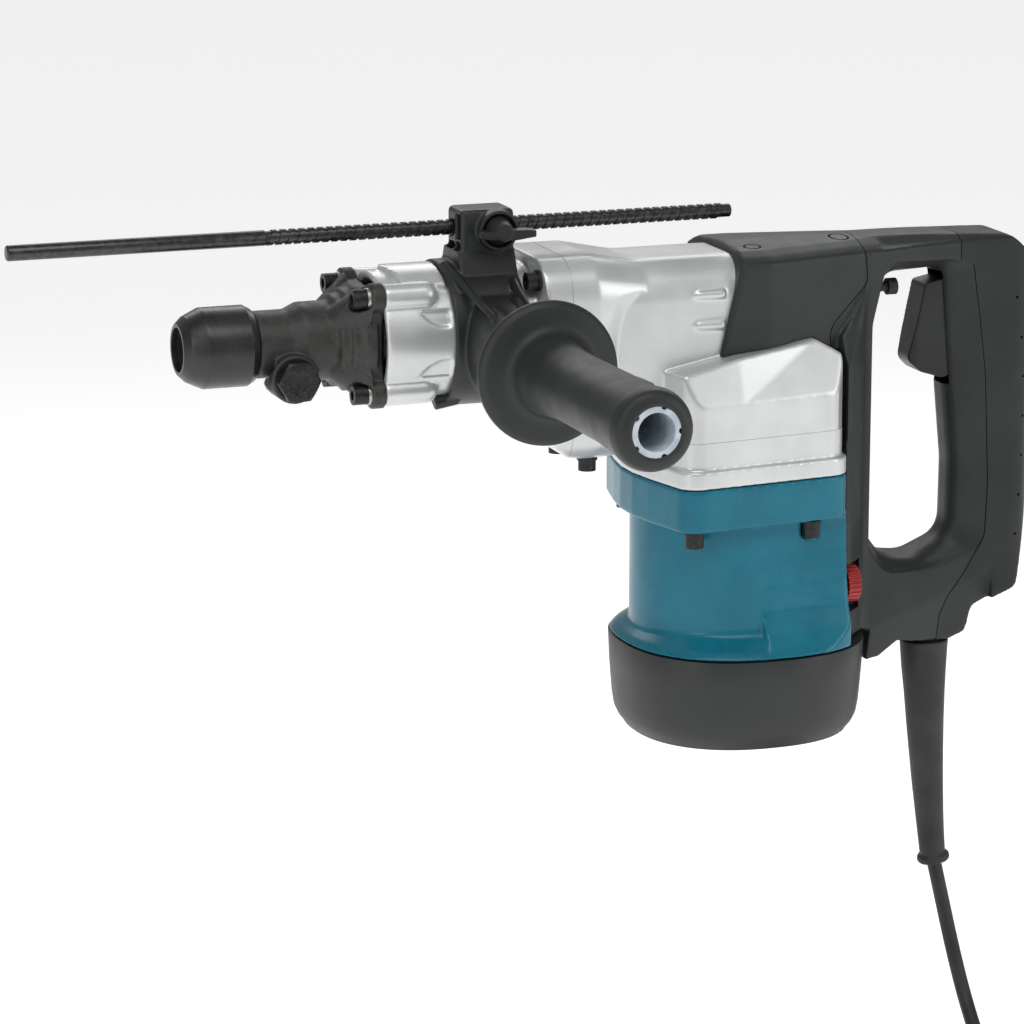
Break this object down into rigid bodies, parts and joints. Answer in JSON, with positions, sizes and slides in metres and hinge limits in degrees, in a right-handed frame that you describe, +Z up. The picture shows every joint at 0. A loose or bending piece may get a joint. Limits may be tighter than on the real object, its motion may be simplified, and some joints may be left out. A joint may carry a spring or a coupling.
{
  "type": "rotary hammer",
  "caption": "Corded rotary hammer with a vertical motor, a D-shaped rear handle with trigger, a swinging side handle with a depth rod, and a chuck with a pull-back cover.",
  "frame": {"origin": "middle of the rear grip, where the hand that works the trigger holds the tool", "axes": "+X from the nose towards the rear handle along the spindle, +Z up, -Y towards the side grip"},
  "size_m": [0.556, 0.323, 0.5145],
  "materials": {
    "sleeve_plastic": "smooth moulded",
    "seal_rubber": "moulded",
    "tool_steel": "ground and hardened",
    "spring_steel": "drawn wire",
    "cast_black": "rough cast, black coat",
    "black_screw": "black oxide",
    "spring_washer": "zinc plated",
    "silver_paint": "silver paint on casting",
    "cover_plastic": "fine grained moulding",
    "handle_plastic": "fine grained moulding",
    "grip_rubber": "soft moulded",
    "trigger_plastic": "smooth moulded",
    "switch_plastic": "moulded",
    "dial_red": "ribbed, clear red",
    "motor_teal": "gloss enamel on casting",
    "base_plastic": "satin moulded",
    "laminations": "varnished stack",
    "copper": "turned copper",
    "fan_plastic": "moulded",
    "brush_carbon": "pressed carbon",
    "brush_brass": "stamped",
    "bracket_plastic": "glass-filled moulding",
    "core_nylon": "natural nylon",
    "rod_steel": "dark oiled",
    "lead_rubber": "smooth",
    "tie_fabric": "hook and loop",
    "plug_body": "moulded"
  },
  "bodies": {
    "gear_case": {"barrel": "cast_black", "barrel_screws": "black_screw", "spring_washers": "spring_washer", "retainer_bolt": "black_screw", "retainer_washer": "black_screw", "front_bearing": "tool_steel", "oil_seal": "seal_rubber", "cylinder": "tool_steel", "rear_bearing": "tool_steel", "bevel_bearings": "tool_steel", "crank_bearings": "tool_steel", "gear_housing": "silver_paint", "bearing_plate": "silver_paint", "housing_screws": "black_screw", "motor_housing": "motor_teal", "base_cap": "base_plastic", "motor_screws": "black_screw", "stator": "laminations", "brush_holders": "brush_brass", "carbon_brushes": "brush_carbon", "motor_bearings": "tool_steel", "rear_cover": "cover_plastic", "handle": "handle_plastic", "handle_cover": "grip_rubber", "handle_screws": "black_screw", "trigger_pin": "tool_steel", "switch_module": "switch_plastic", "cord_guard": "lead_rubber", "cord": "lead_rubber", "cord_coil": "lead_rubber", "coil_tie": "tie_fabric", "plug": "plug_body"},
    "chuck_cover": {"chuck_cover": "sleeve_plastic", "chuck_spring": "spring_steel"},
    "spindle": {"tool_holder": "tool_steel", "lock_rollers": "tool_steel", "dust_seal": "seal_rubber", "ring_gear": "tool_steel"},
    "impact_bolt": {"impact_bolt": "tool_steel"},
    "striker": {"striker": "tool_steel", "striker_ring": "seal_rubber"},
    "piston": {"piston": "tool_steel", "piston_ring": "seal_rubber", "wrist_pin": "tool_steel", "connecting_rod": "tool_steel"},
    "bevel_shaft": {"bevel_pinion": "tool_steel", "bevel_gear": "tool_steel"},
    "crank": {"crank_shaft": "tool_steel", "crank_gear": "tool_steel"},
    "armature": {"armature_shaft": "tool_steel", "armature_core": "laminations", "commutator": "copper", "fan": "fan_plastic"},
    "trigger": {"trigger": "trigger_plastic"},
    "speed_dial": {"speed_dial": "dial_red"},
    "side_bracket": {"side_bracket": "bracket_plastic"},
    "side_grip": {"side_grip": "grip_rubber", "grip_core": "core_nylon"},
    "depth_rod": {"depth_rod": "rod_steel"},
    "wing_screw": {"wing_screw": "bracket_plastic"}
  },
  "joints": [
    {"name": "armature_turn", "type": "hinge", "parent": "gear_case", "child": "armature", "pos_m": [-0.15, 0, -0.08], "axis": [0, 0, 1], "continuous": true},
    {"name": "crank_turn", "type": "hinge", "parent": "gear_case", "child": "crank", "pos_m": [-0.176, 0, 0], "axis": [0, 0, 1], "continuous": true},
    {"name": "bevel_turn", "type": "hinge", "parent": "gear_case", "child": "bevel_shaft", "pos_m": [-0.226, 0, 0.01], "axis": [0, 0, 1], "continuous": true},
    {"name": "spindle_turn", "type": "hinge", "parent": "gear_case", "child": "spindle", "pos_m": [-0.348, 0, 0.06], "axis": [1, 0, 0], "continuous": true},
    {"name": "chuck_pull", "type": "slide", "parent": "spindle", "child": "chuck_cover", "axis": [1, 0, 0], "range_m": [0, 0.008], "stiffness_N_per_m": 1500, "springref_m": -0.005, "deforming": ["chuck_spring"]},
    {"name": "anvil_slide", "type": "slide", "parent": "spindle", "child": "impact_bolt", "axis": [1, 0, 0], "range_m": [-0.0005, 0.002]},
    {"name": "striker_slide", "type": "slide", "parent": "gear_case", "child": "striker", "axis": [1, 0, 0], "range_m": [-0.009, 0.014]},
    {"name": "piston_slide", "type": "slide", "parent": "gear_case", "child": "piston", "axis": [1, 0, 0], "range_m": [-0.024, 0]},
    {"name": "trigger_squeeze", "type": "hinge", "parent": "gear_case", "child": "trigger", "pos_m": [-0.012, 0, 0.068], "axis": [0, -1, 0], "range_deg": [0, 8], "stiffness_Nm_per_rad": 3, "springref_deg": -5.73},
    {"name": "dial_turn", "type": "hinge", "parent": "gear_case", "child": "speed_dial", "pos_m": [-0.0915, -0.0285, -0.084], "axis": [1, 0, 0], "range_deg": [-135, 135]},
    {"name": "bracket_swing", "type": "hinge", "parent": "gear_case", "child": "side_bracket", "pos_m": [-0.291, 0, 0.06], "axis": [1, 0, 0], "range_deg": [-25, 25]},
    {"name": "grip_twist", "type": "hinge", "parent": "side_bracket", "child": "side_grip", "pos_m": [-0.291, -0.18, 0.0585], "axis": [0, 1, 0], "range_deg": [0, 360]},
    {"name": "rod_slide", "type": "slide", "parent": "side_bracket", "child": "depth_rod", "axis": [1, 0, 0], "range_m": [-0.12, 0.12]},
    {"name": "wing_turn", "type": "hinge", "parent": "side_bracket", "child": "wing_screw", "pos_m": [-0.284, -0.02, 0.114], "axis": [0, 1, 0], "range_deg": [-180, 180]}
  ],
  "couplings": [
    {"joint": "crank_turn", "follows": "armature_turn", "ratio": -0.21053},
    {"joint": "bevel_turn", "follows": "armature_turn", "ratio": 0.19433},
    {"joint": "spindle_turn", "follows": "armature_turn", "ratio": -0.038866}
  ]
}
